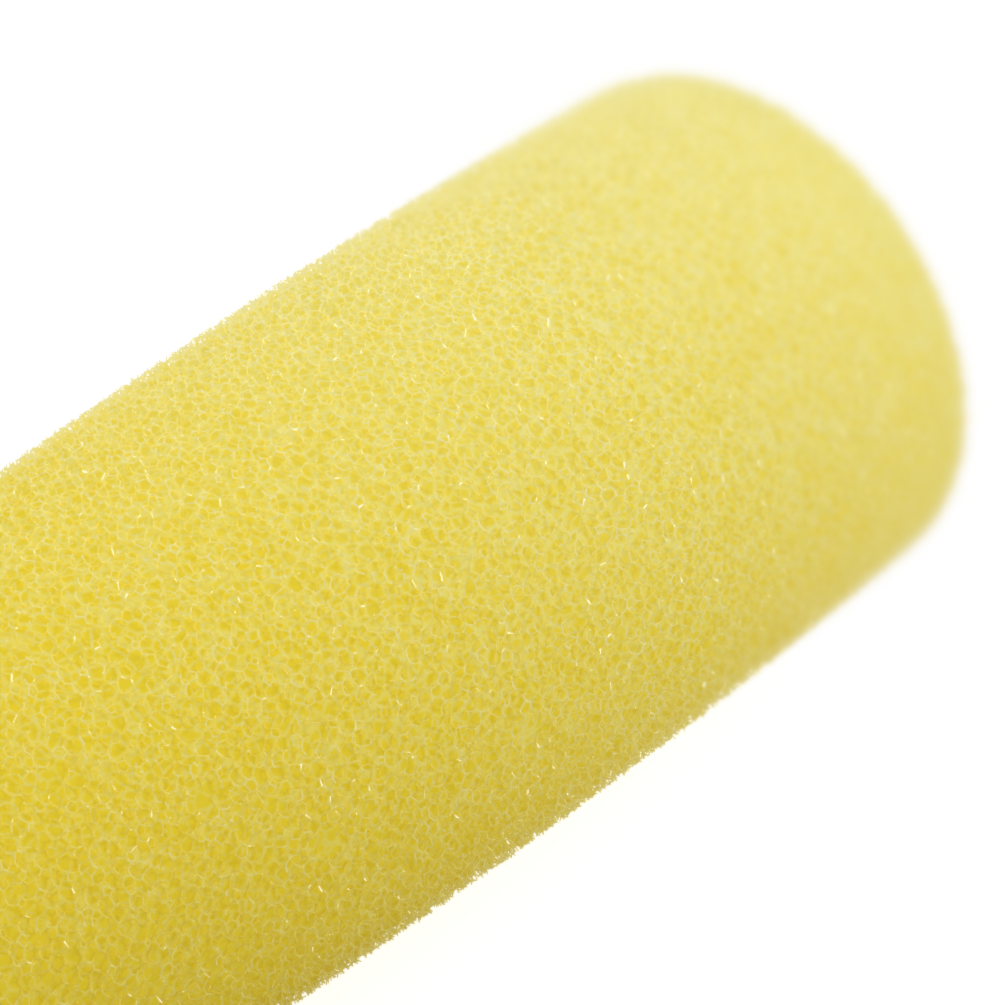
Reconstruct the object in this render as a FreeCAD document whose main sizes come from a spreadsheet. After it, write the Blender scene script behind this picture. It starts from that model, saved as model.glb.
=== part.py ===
"""Foam sponge brush: a long round foam head on a turned wooden handle.

The brush lies along +X: the handle's butt is behind the origin and the foam
head points forward. The origin is the centre of the hang hole, and +Z leaves
that hole upwards. Every piece is drawn from its own rear face, with its axis on
X, and its Placement puts it where it sits in the brush. Millimetres.
"""
import FreeCAD, Part
import Sketcher
import math
import os

X_AXIS = FreeCAD.Vector(1, 0, 0)
Z_AXIS = FreeCAD.Vector(0, 0, 1)

SIZES = {
    # turned handle, measured forward from its butt
    "hang_to_butt": 12.0,
    "butt_face_radius": 5.6,
    "tail_station": 14.0,
    "tail_radius": 9.6,
    "waist_station": 46.0,
    "waist_radius": 6.9,
    "swell_station": 101.0,
    "swell_radius": 11.2,
    "neck_station": 133.0,
    "neck_radius": 7.6,
    "shoulder_station": 140.0,
    "shoulder_radius": 8.7,
    "tenon_radius": 7.4,
    "tenon_length": 20.0,
    "tail_flat_height": 6.0,
    "tail_flat_length": 30.0,
    "tail_flat_runout": 44.0,
    "hang_hole_radius": 3.0,
    "hang_hole_bevel": 0.6,
    # brass thread insert in the tenon
    "insert_length": 15.0,
    "insert_radius": 4.3,
    "insert_groove": 0.5,
    "insert_groove_count": 5.0,
    # crimped metal ferrule over the tenon
    "ferrule_length": 23.0,
    "ferrule_wall": 0.6,
    "ferrule_mouth_radius": 4.2,
    "ferrule_bead": 0.8,
    "ferrule_first_bead": 5.0,
    "ferrule_second_bead": 16.0,
    "pin_station": 10.5,
    "pin_radius": 0.75,
    "pin_length": 3.2,
    "pin_head_radius": 1.3,
    "pin_head_height": 0.45,
    # threaded stem and its fasteners
    "stem_radius": 3.0,
    "stem_length": 101.0,
    "stem_end_bevel": 0.6,
    "thread_pitch": 1.0,
    "thread_depth": 0.45,
    "thread_length": 20.0,
    "screw_depth": 13.0,
    "nut_flats": 10.0,
    "nut_height": 5.0,
    "cap_nut_height": 9.6,
    "cap_nut_hex_height": 4.6,
    "cap_nut_depth": 7.0,
    "washer_radius": 8.4,
    "washer_thickness": 1.2,
    "tip_washer_radius": 6.6,
    "split_washer_radius": 5.4,
    "split_washer_thickness": 1.4,
    "split_washer_gap": 0.8,
    # moulded base and core
    "base_length": 8.2,
    "base_hub_radius": 8.6,
    "base_flange_radius": 13.5,
    "base_flange_thickness": 2.6,
    "base_gusset_width": 1.6,
    "core_length": 66.0,
    "core_radius": 5.6,
    "core_barb_height": 1.4,
    "core_barb_pitch": 11.0,
    "core_key_width": 2.0,
    # foam head
    "foam_length": 89.4,
    "foam_rear_radius": 14.2,
    "foam_front_radius": 17.6,
    "foam_side_curve": 607.0,
    "foam_rim_round": 0.5,
    "foam_end_crown": 1.8,
    "foam_bore_radius": 7.1,
    "foam_bore_depth": 80.0,
    # clearances
    "running_gap": 0.05,
    "seat_gap": 0.02,
}


class Size:
    """A dimension that carries its number and the expression that gives it."""

    def __init__(self, value, text):
        self.value = float(value)
        self.text = text

    def __add__(self, other):
        other = as_size(other)
        return Size(self.value + other.value, f"({self.text} + {other.text})")

    def __sub__(self, other):
        other = as_size(other)
        return Size(self.value - other.value, f"({self.text} - {other.text})")

    def __mul__(self, other):
        other = as_size(other)
        return Size(self.value * other.value, f"({self.text} * {other.text})")

    def __truediv__(self, other):
        other = as_size(other)
        return Size(self.value / other.value, f"({self.text} / {other.text})")


def as_size(number):
    return number if isinstance(number, Size) else Size(number, repr(float(number)))


def make_sheet(document):
    """Put every driving dimension in a cell that has its name as alias."""
    sheet = document.addObject("Spreadsheet::Sheet", "Sizes")
    for row, (name, value) in enumerate(SIZES.items(), start=1):
        sheet.set(f"A{row}", name)
        sheet.set(f"B{row}", str(value))
        sheet.setAlias(f"B{row}", name)
    document.recompute()
    return {name: Size(value, f"Sizes.{name}") for name, value in SIZES.items()}


doc = FreeCAD.newDocument("foam_sponge_brush")
size = make_sheet(doc)
ZERO = as_size(0)


# ---------------------------------------------------------------- drawing aids

def bind(item, name, dimension):
    """Set a property now and keep it tied to the sheet."""
    item.setExpression(name, dimension.text)


def new_body(name, station):
    """A body whose local origin sits on the axis at the given X station."""
    body = doc.addObject("PartDesign::Body", name)
    body.Label = name
    bind(body, "Placement.Base.x", station)
    return body


def origin_feature(body, role):
    return next(item for item in body.Origin.OriginFeatures if item.Role == role)


def new_sketch(body, name, plane="XZ_Plane"):
    sketch = body.newObject("Sketcher::SketchObject", name)
    sketch.AttachmentSupport = [(origin_feature(body, plane), "")]
    sketch.MapMode = "FlatFace"
    return sketch


def pin_point(sketch, edge, end, x, y):
    """Fix one end of an edge at sketch coordinates taken from the sheet."""
    for kind, dimension, axis in (("DistanceX", x, -2), ("DistanceY", y, -1)):
        if dimension is ZERO:
            sketch.addConstraint(Sketcher.Constraint("PointOnObject", edge, end, axis))
            continue
        rule = Sketcher.Constraint(kind, -1, 1, edge, end, dimension.value)
        index = sketch.addConstraint(rule)
        bind(sketch, f"Constraints[{index}]", dimension)


def arc_between(start, finish, radius, outward):
    """Arc from start to finish; outward arcs bulge to the left of the travel."""
    chord = finish - start
    reach = math.sqrt(radius * radius - chord.Length * chord.Length / 4)
    side = FreeCAD.Vector(chord.y, -chord.x, 0).normalize() * (1 if outward else -1)
    centre = (start + finish) * 0.5 + side * reach
    first, last = (finish, start) if outward else (start, finish)
    angles = [math.atan2(point.y - centre.y, point.x - centre.x) for point in (first, last)]
    return Part.ArcOfCircle(Part.Circle(centre, Z_AXIS, radius), *angles)


def draw_outline(sketch, vertices):
    """Closed outline of (x, y) or (x, y, radius, outward) vertices.

    A vertex with a radius starts an arc that runs to the next vertex.
    """
    ends = []
    for index, vertex in enumerate(vertices):
        start = FreeCAD.Vector(vertex[0].value, vertex[1].value, 0)
        following = vertices[(index + 1) % len(vertices)]
        finish = FreeCAD.Vector(following[0].value, following[1].value, 0)
        if len(vertex) == 2:
            edge = sketch.addGeometry(Part.LineSegment(start, finish))
            ends.append((edge, 1, 2))
            continue
        radius, outward = vertex[2:]
        edge = sketch.addGeometry(arc_between(start, finish, radius.value, outward))
        ends.append((edge, 2, 1) if outward else (edge, 1, 2))
    for index, (edge, start_point, _) in enumerate(ends):
        before, _, before_end = ends[index - 1]
        sketch.addConstraint(Sketcher.Constraint("Coincident", before, before_end, edge, start_point))
        pin_point(sketch, edge, start_point, *vertices[index][:2])
        if len(vertices[index]) > 2:
            radius = vertices[index][2]
            rule = sketch.addConstraint(Sketcher.Constraint("Radius", edge, radius.value))
            bind(sketch, f"Constraints[{rule}]", radius)


def turn(body, vertices, feature="PartDesign::Revolution", name="Turned"):
    """Turn an outline in the XZ plane about the X axis, adding or cutting."""
    sketch = new_sketch(body, f"{body.Name}_{name}_outline")
    draw_outline(sketch, vertices)
    turned = body.newObject(feature, f"{body.Name}_{name}")
    turned.Profile = sketch
    turned.ReferenceAxis = (sketch, ["H_Axis"])
    turned.Angle = 360
    body.Tip = turned
    return turned


def through_cut(body, name, plane, draw):
    """Cut a sketched shape right through the body, to both sides of its plane."""
    sketch = new_sketch(body, f"{body.Name}_{name}_outline", plane)
    draw(sketch)
    pocket = body.newObject("PartDesign::Pocket", f"{body.Name}_{name}")
    pocket.Profile = sketch
    pocket.Type = 1
    pocket.Midplane = True
    body.Tip = pocket
    return pocket


def draw_circle(sketch, x, y, radius):
    circle = Part.Circle(FreeCAD.Vector(x.value, y.value, 0), Z_AXIS, radius.value)
    edge = sketch.addGeometry(circle)
    pin_point(sketch, edge, 3, x, y)
    rule = sketch.addConstraint(Sketcher.Constraint("Radius", edge, radius.value))
    bind(sketch, f"Constraints[{rule}]", radius)


def repeat_around(body, feature, count, name):
    pattern = body.newObject("PartDesign::PolarPattern", f"{body.Name}_{name}")
    pattern.Originals = [feature]
    pattern.Axis = (origin_feature(body, "X_Axis"), [""])
    pattern.Angle = 360
    pattern.Occurrences = count
    body.Tip = pattern
    return pattern


def repeat_along(body, feature, length, count, name):
    pattern = body.newObject("PartDesign::LinearPattern", f"{body.Name}_{name}")
    pattern.Originals = [feature]
    pattern.Direction = (origin_feature(body, "X_Axis"), [""])
    bind(pattern, "Length", length)
    pattern.Occurrences = count
    body.Tip = pattern
    return pattern


def wave_radius(run, rise):
    """Radius of the two equal arcs that make an S between two level points."""
    return (run * run + rise * rise) / (rise * 4)


def wave(start, finish, rising):
    """Two tangent arcs from one turning point of a profile to the next."""
    (x0, r0), (x1, r1) = start, finish
    rise = r1 - r0 if rising else r0 - r1
    radius = wave_radius(x1 - x0, rise)
    middle = ((x0 + x1) / 2, (r0 + r1) / 2)
    return [(x0, r0, radius, not rising), (*middle, radius, rising)]


# ---------------------------------------------------------------- stations

seat = size["seat_gap"]
running = size["running_gap"]
HANDLE_START = ZERO - size["hang_to_butt"]
FERRULE_START = HANDLE_START + size["shoulder_station"] + seat
FERRULE_END = FERRULE_START + size["ferrule_length"]
TENON_END = HANDLE_START + size["shoulder_station"] + size["tenon_length"]
INSERT_START = TENON_END - size["insert_length"]
STEM_START = TENON_END - size["screw_depth"]
WASHER_START = FERRULE_END + running
BASE_START = WASHER_START + size["washer_thickness"] + running
CORE_START = BASE_START + size["base_length"] + seat
FOAM_START = CORE_START + seat
TIP_WASHER_START = CORE_START + size["core_length"] + seat
SPLIT_WASHER_START = TIP_WASHER_START + size["washer_thickness"] + seat
CAP_NUT_START = SPLIT_WASHER_START + size["split_washer_thickness"] + seat


# ---------------------------------------------------------------- pieces

def make_handle():
    """Turned wood: round tail with two flats, waist, swell, neck and tenon."""
    body = new_body("handle", HANDLE_START)
    tail = (size["tail_station"], size["tail_radius"])
    waist = (size["waist_station"], size["waist_radius"])
    swell = (size["swell_station"], size["swell_radius"])
    neck = (size["neck_station"], size["neck_radius"])
    shoulder = (size["shoulder_station"], size["shoulder_radius"])
    tenon_end = size["shoulder_station"] + size["tenon_length"]
    insert_hole = size["insert_radius"] + seat
    insert_floor = tenon_end - size["insert_length"] - running
    butt_run = size["tail_station"]
    butt_rise = size["tail_radius"] - size["butt_face_radius"]
    butt_curve = (butt_run * butt_run + butt_rise * butt_rise) / (butt_rise * 2)
    outline = [(ZERO, size["butt_face_radius"], butt_curve, True)]
    outline += wave(tail, waist, rising=False)
    outline += wave(waist, swell, rising=True)
    outline += wave(swell, neck, rising=False)
    outline += wave(neck, shoulder, rising=True)
    outline += [
        shoulder,
        (size["shoulder_station"], size["tenon_radius"]),
        (tenon_end, size["tenon_radius"]),
        (tenon_end, insert_hole),
        (insert_floor, insert_hole),
        (insert_floor - insert_hole / 2, ZERO),
        (ZERO, ZERO),
    ]
    turn(body, outline)
    cut_tail_flats(body)
    hole_x = size["hang_to_butt"]
    through_cut(body, "Hang_hole", "XY_Plane",
                lambda sketch: draw_circle(sketch, hole_x, ZERO, size["hang_hole_radius"]))
    cut_hang_bevel(body)
    pin_x = size["pin_station"] + size["shoulder_station"] + seat
    through_cut(body, "Pin_holes", "XZ_Plane", lambda sketch: draw_circle(
        sketch, pin_x, ZERO, size["pin_radius"] + seat))
    return body


def cut_tail_flats(body):
    """Two flats beside the hang hole that run out in an arc towards the waist."""
    height = size["tail_flat_height"]
    top = size["tail_radius"] * 2
    end = size["tail_flat_length"]
    runout = size["tail_flat_runout"]
    for sign, name in ((1, "Top_flat"), (-1, "Bottom_flat")):
        outline = [
            (ZERO, height * sign),
            (end, height * sign, runout, sign < 0),
            (end + runout, (height + runout) * sign),
            (end + runout, (height + runout + top) * sign),
            (ZERO, (height + runout + top) * sign),
        ]
        through_cut(body, name, "XZ_Plane", lambda sketch: draw_outline(sketch, outline))


def cut_hang_bevel(body):
    """Bevel both mouths of the hang hole with one turned cut about Z."""
    height = size["tail_flat_height"]
    bevel = size["hang_hole_bevel"]
    hole = size["hang_hole_radius"]
    centre = size["hang_to_butt"]
    sketch = new_sketch(body, "handle_Hang_bevel_outline")
    for sign in (1, -1):
        draw_outline(sketch, [
            (centre + hole - seat, height * sign),
            (centre + hole + bevel, height * sign),
            (centre + hole - seat, (height - bevel - seat) * sign),
        ])
    axis = sketch.addGeometry(Part.LineSegment(
        FreeCAD.Vector(centre.value, 0, 0), FreeCAD.Vector(centre.value, height.value, 0)), True)
    pin_point(sketch, axis, 1, centre, ZERO)
    pin_point(sketch, axis, 2, centre, height)
    groove = body.newObject("PartDesign::Groove", "handle_Hang_bevel")
    groove.Profile = sketch
    groove.ReferenceAxis = (sketch, ["Axis0"])
    groove.Angle = 360
    body.Tip = groove


def make_threaded_insert():
    """Brass bush with grip rings outside and the stem's thread bore inside."""
    body = new_body("threaded_insert", INSERT_START)
    outer = size["insert_radius"]
    bore = size["stem_radius"] + running
    turn(body, [(ZERO, bore), (ZERO, outer), (size["insert_length"], outer), (size["insert_length"], bore)])
    depth = size["insert_groove"]
    step = size["insert_length"] / (size["insert_groove_count"] + 1)
    ring = turn(body, [(step - depth, outer), (step, outer - depth), (step + depth, outer)],
                "PartDesign::Groove", "Grip_ring")
    count = int(SIZES["insert_groove_count"])
    repeat_along(body, ring, step * (count - 1), count, "Grip_rings")
    return body


def make_ferrule():
    """Drawn metal cup over the tenon with two rolled beads and a turned-in lip."""
    body = new_body("ferrule", FERRULE_START)
    inner = size["tenon_radius"] + running
    outer = inner + size["ferrule_wall"]
    length = size["ferrule_length"]
    bead = size["ferrule_bead"]
    crown = bead * 1.25
    outline = [(ZERO, inner), (ZERO, outer)]
    for station in (size["ferrule_first_bead"], size["ferrule_second_bead"]):
        outline += [(station - bead, outer, crown, True), (station + bead, outer)]
    outline += [
        (length - size["ferrule_wall"], outer, size["ferrule_wall"], True),
        (length, outer - size["ferrule_wall"]),
        (length, size["ferrule_mouth_radius"]),
        (length - size["ferrule_wall"], size["ferrule_mouth_radius"]),
        (length - size["ferrule_wall"], inner),
    ]
    turn(body, outline)
    through_cut(body, "Pin_holes", "XZ_Plane", lambda sketch: draw_circle(
        sketch, size["pin_station"], ZERO, size["pin_radius"] + seat))
    return body


def make_ferrule_pins():
    """Two flat-headed brads that fix the ferrule to the tenon, left and right."""
    outer = size["tenon_radius"] + running + size["ferrule_wall"]
    tip = outer - size["pin_length"]
    pins = []
    for side, angle in (("left", -90), ("right", 90)):
        shank = doc.addObject("Part::Cylinder", f"{side}_pin_shank")
        bind(shank, "Radius", size["pin_radius"])
        bind(shank, "Height", size["pin_length"] + seat)
        shank.Placement.Base = FreeCAD.Vector(0, 0, 0)
        bind(shank, "Placement.Base.z", tip)
        head = doc.addObject("Part::Cylinder", f"{side}_pin_head")
        bind(head, "Radius", size["pin_head_radius"])
        bind(head, "Height", size["pin_head_height"])
        bind(head, "Placement.Base.z", outer + seat)
        pin = doc.addObject("Part::Fuse", f"{side}_pin")
        pin.Base = shank
        pin.Tool = head
        pin.Placement.Rotation = FreeCAD.Rotation(X_AXIS, angle)
        pins.append(pin)
    pair = doc.addObject("Part::Compound", "ferrule_pins")
    pair.Links = pins
    pair.Label = "ferrule_pins"
    bind(pair, "Placement.Base.x", FERRULE_START + size["pin_station"])
    return pair


def make_stem_rod():
    """Steel rod with bevelled ends and thread grooves on its screwed length."""
    body = new_body("stem_rod", STEM_START)
    radius = size["stem_radius"]
    bevel = size["stem_end_bevel"]
    length = size["stem_length"]
    turn(body, [
        (ZERO, ZERO), (ZERO, radius - bevel), (bevel, radius),
        (length - bevel, radius), (length, radius - bevel), (length, ZERO),
    ])
    pitch = size["thread_pitch"]
    depth = size["thread_depth"]
    start = bevel + pitch
    groove = turn(body, [(start - depth, radius), (start, radius - depth), (start + depth, radius)],
                  "PartDesign::Groove", "Thread_groove")
    count = round(SIZES["thread_length"] / SIZES["thread_pitch"])
    repeat_along(body, groove, pitch * (count - 1), count, "Thread_grooves")
    return body


def make_ring(name, station, outer, bore, thickness):
    body = new_body(name, station)
    turn(body, [(ZERO, bore), (ZERO, outer), (thickness, outer), (thickness, bore)])
    return body


def make_split_washer():
    """Spring washer: a ring with a narrow slot through one side."""
    thickness = size["split_washer_thickness"]
    half_gap = size["split_washer_gap"] / 2
    body = make_ring("split_washer", SPLIT_WASHER_START, size["split_washer_radius"],
                     size["stem_radius"] + running, thickness)
    sketch = new_sketch(body, "split_washer_slot_outline")
    draw_outline(sketch, [
        (ZERO - running, size["stem_radius"] - running),
        (ZERO - running, size["split_washer_radius"] + running),
        (thickness + running, size["split_washer_radius"] + running),
        (thickness + running, size["stem_radius"] - running),
    ])
    slot = body.newObject("PartDesign::Pocket", "split_washer_slot")
    slot.Profile = sketch
    slot.Midplane = True
    bind(slot, "Length", half_gap * 2)
    body.Tip = slot
    return body


def hexagon(name, height, clearance):
    """Six-sided prism along +X whose flats are the nut's, plus a clearance."""
    prism = doc.addObject("Part::Prism", name)
    prism.Polygon = 6
    bind(prism, "Circumradius", (size["nut_flats"] / 2 + clearance) / math.cos(math.radians(30)))
    bind(prism, "Height", height)
    prism.Placement.Rotation = FreeCAD.Rotation(FreeCAD.Vector(0, 1, 0), 90)
    return prism


def bored(name, solid, bore_radius, bore_length):
    """Cut a round hole along +X into a solid, from its rear face."""
    drill = doc.addObject("Part::Cylinder", f"{name}_bore")
    bind(drill, "Radius", bore_radius)
    bind(drill, "Height", bore_length)
    drill.Placement.Rotation = FreeCAD.Rotation(FreeCAD.Vector(0, 1, 0), 90)
    cut = doc.addObject("Part::Cut", name)
    cut.Base = solid
    cut.Tool = drill
    return cut


def make_base_nut():
    """Plain hexagon nut in the rear of the base."""
    nut = bored("base_nut", hexagon("base_nut_hexagon", size["nut_height"], ZERO),
                size["stem_radius"] + seat, size["nut_height"])
    nut.Label = "base_nut"
    bind(nut, "Placement.Base.x", BASE_START + seat)
    return nut


def make_cap_nut():
    """Domed nut that closes the stem's front end inside the foam."""
    hexagonal = hexagon("cap_nut_hexagon", size["cap_nut_hex_height"], ZERO)
    dome_radius = size["nut_flats"] / 2
    dome = doc.addObject("Part::Sphere", "cap_nut_dome")
    bind(dome, "Radius", dome_radius)
    bind(dome, "Placement.Base.x", size["cap_nut_hex_height"])
    whole = doc.addObject("Part::Fuse", "cap_nut_outside")
    whole.Base = hexagonal
    whole.Tool = dome
    limit = doc.addObject("Part::Box", "cap_nut_limit")
    bind(limit, "Length", size["cap_nut_height"])
    bind(limit, "Width", size["nut_flats"] * 2)
    bind(limit, "Height", size["nut_flats"] * 2)
    bind(limit, "Placement.Base.y", ZERO - size["nut_flats"])
    bind(limit, "Placement.Base.z", ZERO - size["nut_flats"])
    trimmed = doc.addObject("Part::Common", "cap_nut_trimmed")
    trimmed.Base = whole
    trimmed.Tool = limit
    nut = bored("cap_nut", trimmed, size["stem_radius"] + seat, size["cap_nut_depth"])
    nut.Label = "cap_nut"
    bind(nut, "Placement.Base.x", CAP_NUT_START)
    return nut


def make_head_base():
    """Moulded base: hub with a nut pocket, flange against the foam, gussets."""
    body = new_body("head_base", BASE_START)
    length = size["base_length"]
    hub = size["base_hub_radius"]
    flange = size["base_flange_radius"]
    shelf = length - size["base_flange_thickness"]
    edge = size["base_flange_thickness"] / 3
    bore = size["stem_radius"] + seat
    turn(body, [
        (ZERO, bore), (ZERO, hub - edge), (edge, hub), (shelf, hub + edge), (shelf, flange - edge),
        (shelf + edge, flange), (length - edge, flange), (length, flange - edge), (length, bore),
    ])
    sketch = new_sketch(body, "head_base_gusset_outline")
    draw_outline(sketch, [
        (edge * 2, hub - edge), (shelf + edge, flange - edge * 2), (shelf + edge, hub - edge),
    ])
    gusset = body.newObject("PartDesign::Pad", "head_base_gusset")
    gusset.Profile = sketch
    gusset.Midplane = True
    bind(gusset, "Length", size["base_gusset_width"])
    body.Tip = gusset
    repeat_around(body, gusset, 8, "gussets")
    cut_nut_pocket(body)
    return body


def cut_nut_pocket(body):
    """Six-sided pocket in the hub's rear face that keeps the nut from turning."""
    sketch = new_sketch(body, "head_base_nut_outline", "YZ_Plane")
    corner = (size["nut_flats"] / 2 + running) / math.cos(math.radians(30))
    corners = []
    for step in range(6):
        angle = math.radians(60 * step)
        corners.append((spoke(corner, math.sin(angle)), spoke(corner, math.cos(angle))))
    draw_outline(sketch, corners)
    pocket = body.newObject("PartDesign::Pocket", "head_base_nut_pocket")
    pocket.Profile = sketch
    pocket.Reversed = True
    bind(pocket, "Length", size["nut_height"] + running)
    body.Tip = pocket


def spoke(length, share):
    """Part of a length along one direction; a vanishing share is exactly zero."""
    return ZERO if abs(share) < 1e-9 else length * share


def make_core_spindle():
    """Hollow core with saw-tooth barbs and four keys that grip the foam."""
    body = new_body("core_spindle", CORE_START)
    bore = size["stem_radius"] + seat
    skin = size["core_radius"]
    barb = size["core_barb_height"]
    pitch = size["core_barb_pitch"]
    length = size["core_length"]
    turn(body, [(ZERO, bore), (ZERO, skin), (length, skin), (length, bore)])
    sketch = new_sketch(body, "core_spindle_key_outline")
    draw_outline(sketch, [
        (ZERO, skin - barb / 2), (ZERO, skin + barb - running),
        (length, skin + barb - running), (length, skin - barb / 2),
    ])
    key = body.newObject("PartDesign::Pad", "core_spindle_key")
    key.Profile = sketch
    key.Midplane = True
    bind(key, "Length", size["core_key_width"])
    body.Tip = key
    repeat_around(body, key, 4, "keys")
    ring = turn(body, [
        (pitch / 4, skin - running), (pitch / 4, skin + barb), (pitch * 0.75, skin - running)],
        name="Barb")
    count = int(SIZES["core_length"] / SIZES["core_barb_pitch"])
    repeat_along(body, ring, pitch * (count - 1), count, "Barbs")
    return body


def make_foam_head():
    """Barrel-sided foam with a crowned closed end and a blind bore for the core."""
    body = new_body("foam_head", FOAM_START)
    length = size["foam_length"]
    rim = size["foam_rim_round"]
    front = size["foam_front_radius"]
    crown = size["foam_end_crown"]
    flat = front - rim
    end_curve = (flat * flat + crown * crown) / (crown * 2)
    rim_x = length - crown
    turn(body, [
        (ZERO, size["foam_bore_radius"]),
        (ZERO, size["foam_rear_radius"], size["foam_side_curve"], True),
        (rim_x - rim, front, rim, True),
        (rim_x, flat, end_curve, True),
        (length, ZERO),
        (size["foam_bore_depth"], ZERO),
        (size["foam_bore_depth"], size["foam_bore_radius"]),
    ])
    return body


def check(pieces):
    """Stop before writing if any object failed or any piece has no sound shape."""
    for item in doc.Objects:
        if "Invalid" in item.State or "Error" in item.State:
            raise RuntimeError(f"{item.Name} did not compute: {item.State}")
    for piece in pieces:
        shape = piece.Shape
        if shape.isNull() or not shape.isValid() or not shape.Solids:
            raise RuntimeError(f"{piece.Label} has no valid solid")


def write(pieces):
    os.makedirs("parts", exist_ok=True)
    for piece in pieces:
        piece.Shape.exportStep(os.path.join("parts", f"{piece.Label}.step"))
        box = piece.Shape.optimalBoundingBox()
        print(f"{piece.Label:16s} solids {len(piece.Shape.Solids)} volume {piece.Shape.Volume:9.1f}"
              f"  x {box.XMin:7.2f} .. {box.XMax:7.2f}  radius {box.ZMax:6.2f}")


stem_hole = size["stem_radius"] + running
pieces = [
    make_handle(),
    make_threaded_insert(),
    make_ferrule(),
    make_ferrule_pins(),
    make_stem_rod(),
    make_ring("stop_washer", WASHER_START, size["washer_radius"], stem_hole, size["washer_thickness"]),
    make_head_base(),
    make_base_nut(),
    make_core_spindle(),
    make_ring("tip_washer", TIP_WASHER_START, size["tip_washer_radius"], stem_hole,
              size["washer_thickness"]),
    make_split_washer(),
    make_cap_nut(),
    make_foam_head(),
]
doc.recompute()
check(pieces)
write(pieces)
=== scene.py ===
"""Foam sponge brush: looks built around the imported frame.

The foam is a real network of thin struts, cut to the head's outline the way the
real head is cut from a block of open-cell foam. Everything is in metres.
"""
import itertools
import math

import bpy
import numpy as np
from mathutils import Euler, Matrix, Vector, kdtree


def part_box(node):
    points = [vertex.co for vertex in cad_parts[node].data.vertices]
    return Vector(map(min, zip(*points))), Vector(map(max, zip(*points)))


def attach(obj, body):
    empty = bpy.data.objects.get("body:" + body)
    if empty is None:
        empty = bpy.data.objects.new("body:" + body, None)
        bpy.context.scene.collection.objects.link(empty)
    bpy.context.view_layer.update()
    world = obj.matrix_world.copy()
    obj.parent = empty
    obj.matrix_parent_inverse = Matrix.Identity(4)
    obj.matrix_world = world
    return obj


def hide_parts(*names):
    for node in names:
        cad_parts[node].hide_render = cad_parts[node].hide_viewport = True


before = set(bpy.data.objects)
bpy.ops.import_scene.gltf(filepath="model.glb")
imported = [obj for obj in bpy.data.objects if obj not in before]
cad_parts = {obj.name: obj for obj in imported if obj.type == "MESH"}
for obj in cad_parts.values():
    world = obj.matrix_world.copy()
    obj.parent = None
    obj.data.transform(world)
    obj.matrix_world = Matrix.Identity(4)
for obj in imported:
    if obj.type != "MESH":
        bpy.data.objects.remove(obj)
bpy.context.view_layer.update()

MM = 0.001

# Foam block: cells in a cube that repeats in all directions, with a strut along every cell edge.
CELL = 0.85 * MM
TILE_CELLS = 12.5
TILE_SIDE = TILE_CELLS * CELL
SITE_SEED = 3
SITE_SPACING = 1.12 * CELL
SITE_MARGIN = 2.5 * CELL
RELAX_STEPS = 30
RELAX_PUSH = 0.2
RELAX_NEIGHBOURS = 13
JUNCTION_NEIGHBOURS = 32
JUNCTION_CANDIDATES = 19
JUNCTION_REACH = 0.95 * CELL
JUNCTION_MARGIN = 2.2 * CELL
JUNCTION_BATCH = 250
FLAT_VOLUME = 1e-4 * CELL ** 3
TOUCH_SLACK = 1e-6 * CELL ** 2
SMOOTH_STEPS = 2
SMOOTH_SHARE = 0.5
STRUT_RADIUS = 0.050 * MM
TILE_RANGE = 128  # tile steps along an axis that a corner's key has room for

# Foam head: struts in the outer skin, over a closed inner surface that comes nearer at the rim.
BLOCK_TURN = (0.47, 0.83, 0.29)
SKIN_SECTIONS = 8
SKIN_DEPTH = 0.62 * MM
RIM_DEPTH = 0.30 * MM
RIM_REACH = 3.0 * MM
CUT_SEED = 11
LOOSE_END = 0.22 * MM
SHORTEST_CUT = 0.05
BASE_COVER_RADIUS = 12.6 * MM
BASE_COVER_DEPTH = 1.2 * MM
OUTER_SHARE = 0.5
END_SHARE = 0.15
OUTLINE_MARGIN = 3 * MM
END_LENGTH = 2.5 * MM
INSIDE_STEP = 0.35 * MM
INSIDE_AROUND = 300
PIT_DEPTH = 0.2 * MM
PIT_CONTRAST = 1.4
PIT_MIDDLE = 0.35

# The foam's colour, from its palest struts to the deep yellow of painted shade inside its cells, and
# how far
# along that scale each thing moves it: depth paints shade, a strut's direction paints a sheen, and
# the tip and the side that faces the light are paler, as painted sheen and painted light.
LIGHT_SIDE = (0, 0.34, 0.94)
TIP_SHEEN_LENGTH = 75 * MM
YELLOWS = ((1.0, 0.95, 0.50, 1), (0.99, 0.87, 0.20, 1), (0.98, 0.77, 0.04, 1))
PAINTED_SHADE_BY_DEPTH = 0.64
YELLOW_BY_SHEEN_AND_TONE = -0.36
YELLOW_BY_PATCH = -0.50
YELLOW_BY_LIGHT = -0.18
YELLOW_BY_TIP = -0.56

# The share of a strut's paleness that its direction gives as a painted sheen, the rest being random
# tone, patches about two cells across, and how the walls of the next cells down fade out, in shares
# of a cell.
SHEEN_BY_RUN = 0.6
PATCH_SCALE = 700.0
WALL_FADE_START = 0.03
WALL_FADE_END = 0.15

# The painted glow of light that has wandered through the foam, stronger towards the tip and on the
# side that faces the light, and the share that it leaves to reflect.
GLOW = 0.232
GLOW_BY_TIP = 0.10
GLOW_BY_LIGHT = 0.16
REFLECTED = 0.62

# Studio: the lamps' places from the tip, their sides and powers.
ROOM_LIGHT = 0.50
KEY_PLACE = Vector((0.10, 0.25, 0.70))
KEY_SIDE = 0.6
KEY_POWER = 0.6
GLINT_PLACE = Vector((0.32, -0.42, 0.28))
GLINT_SIDE = 0.16
GLINT_POWER = 0.9
FLOOR_SIDE = 8
FLOOR_GLOW = 0.72

# Camera: how it looks at the tip of the foam.
CAMERA_RISE = math.radians(38.05)
CAMERA_TURN = math.radians(41.72)
TIP_DISTANCE = 0.2692
TIP_RIGHT = 0.0170
TIP_UP = 0.0123
SENSOR = 36.0
LENS = 150.4

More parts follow.
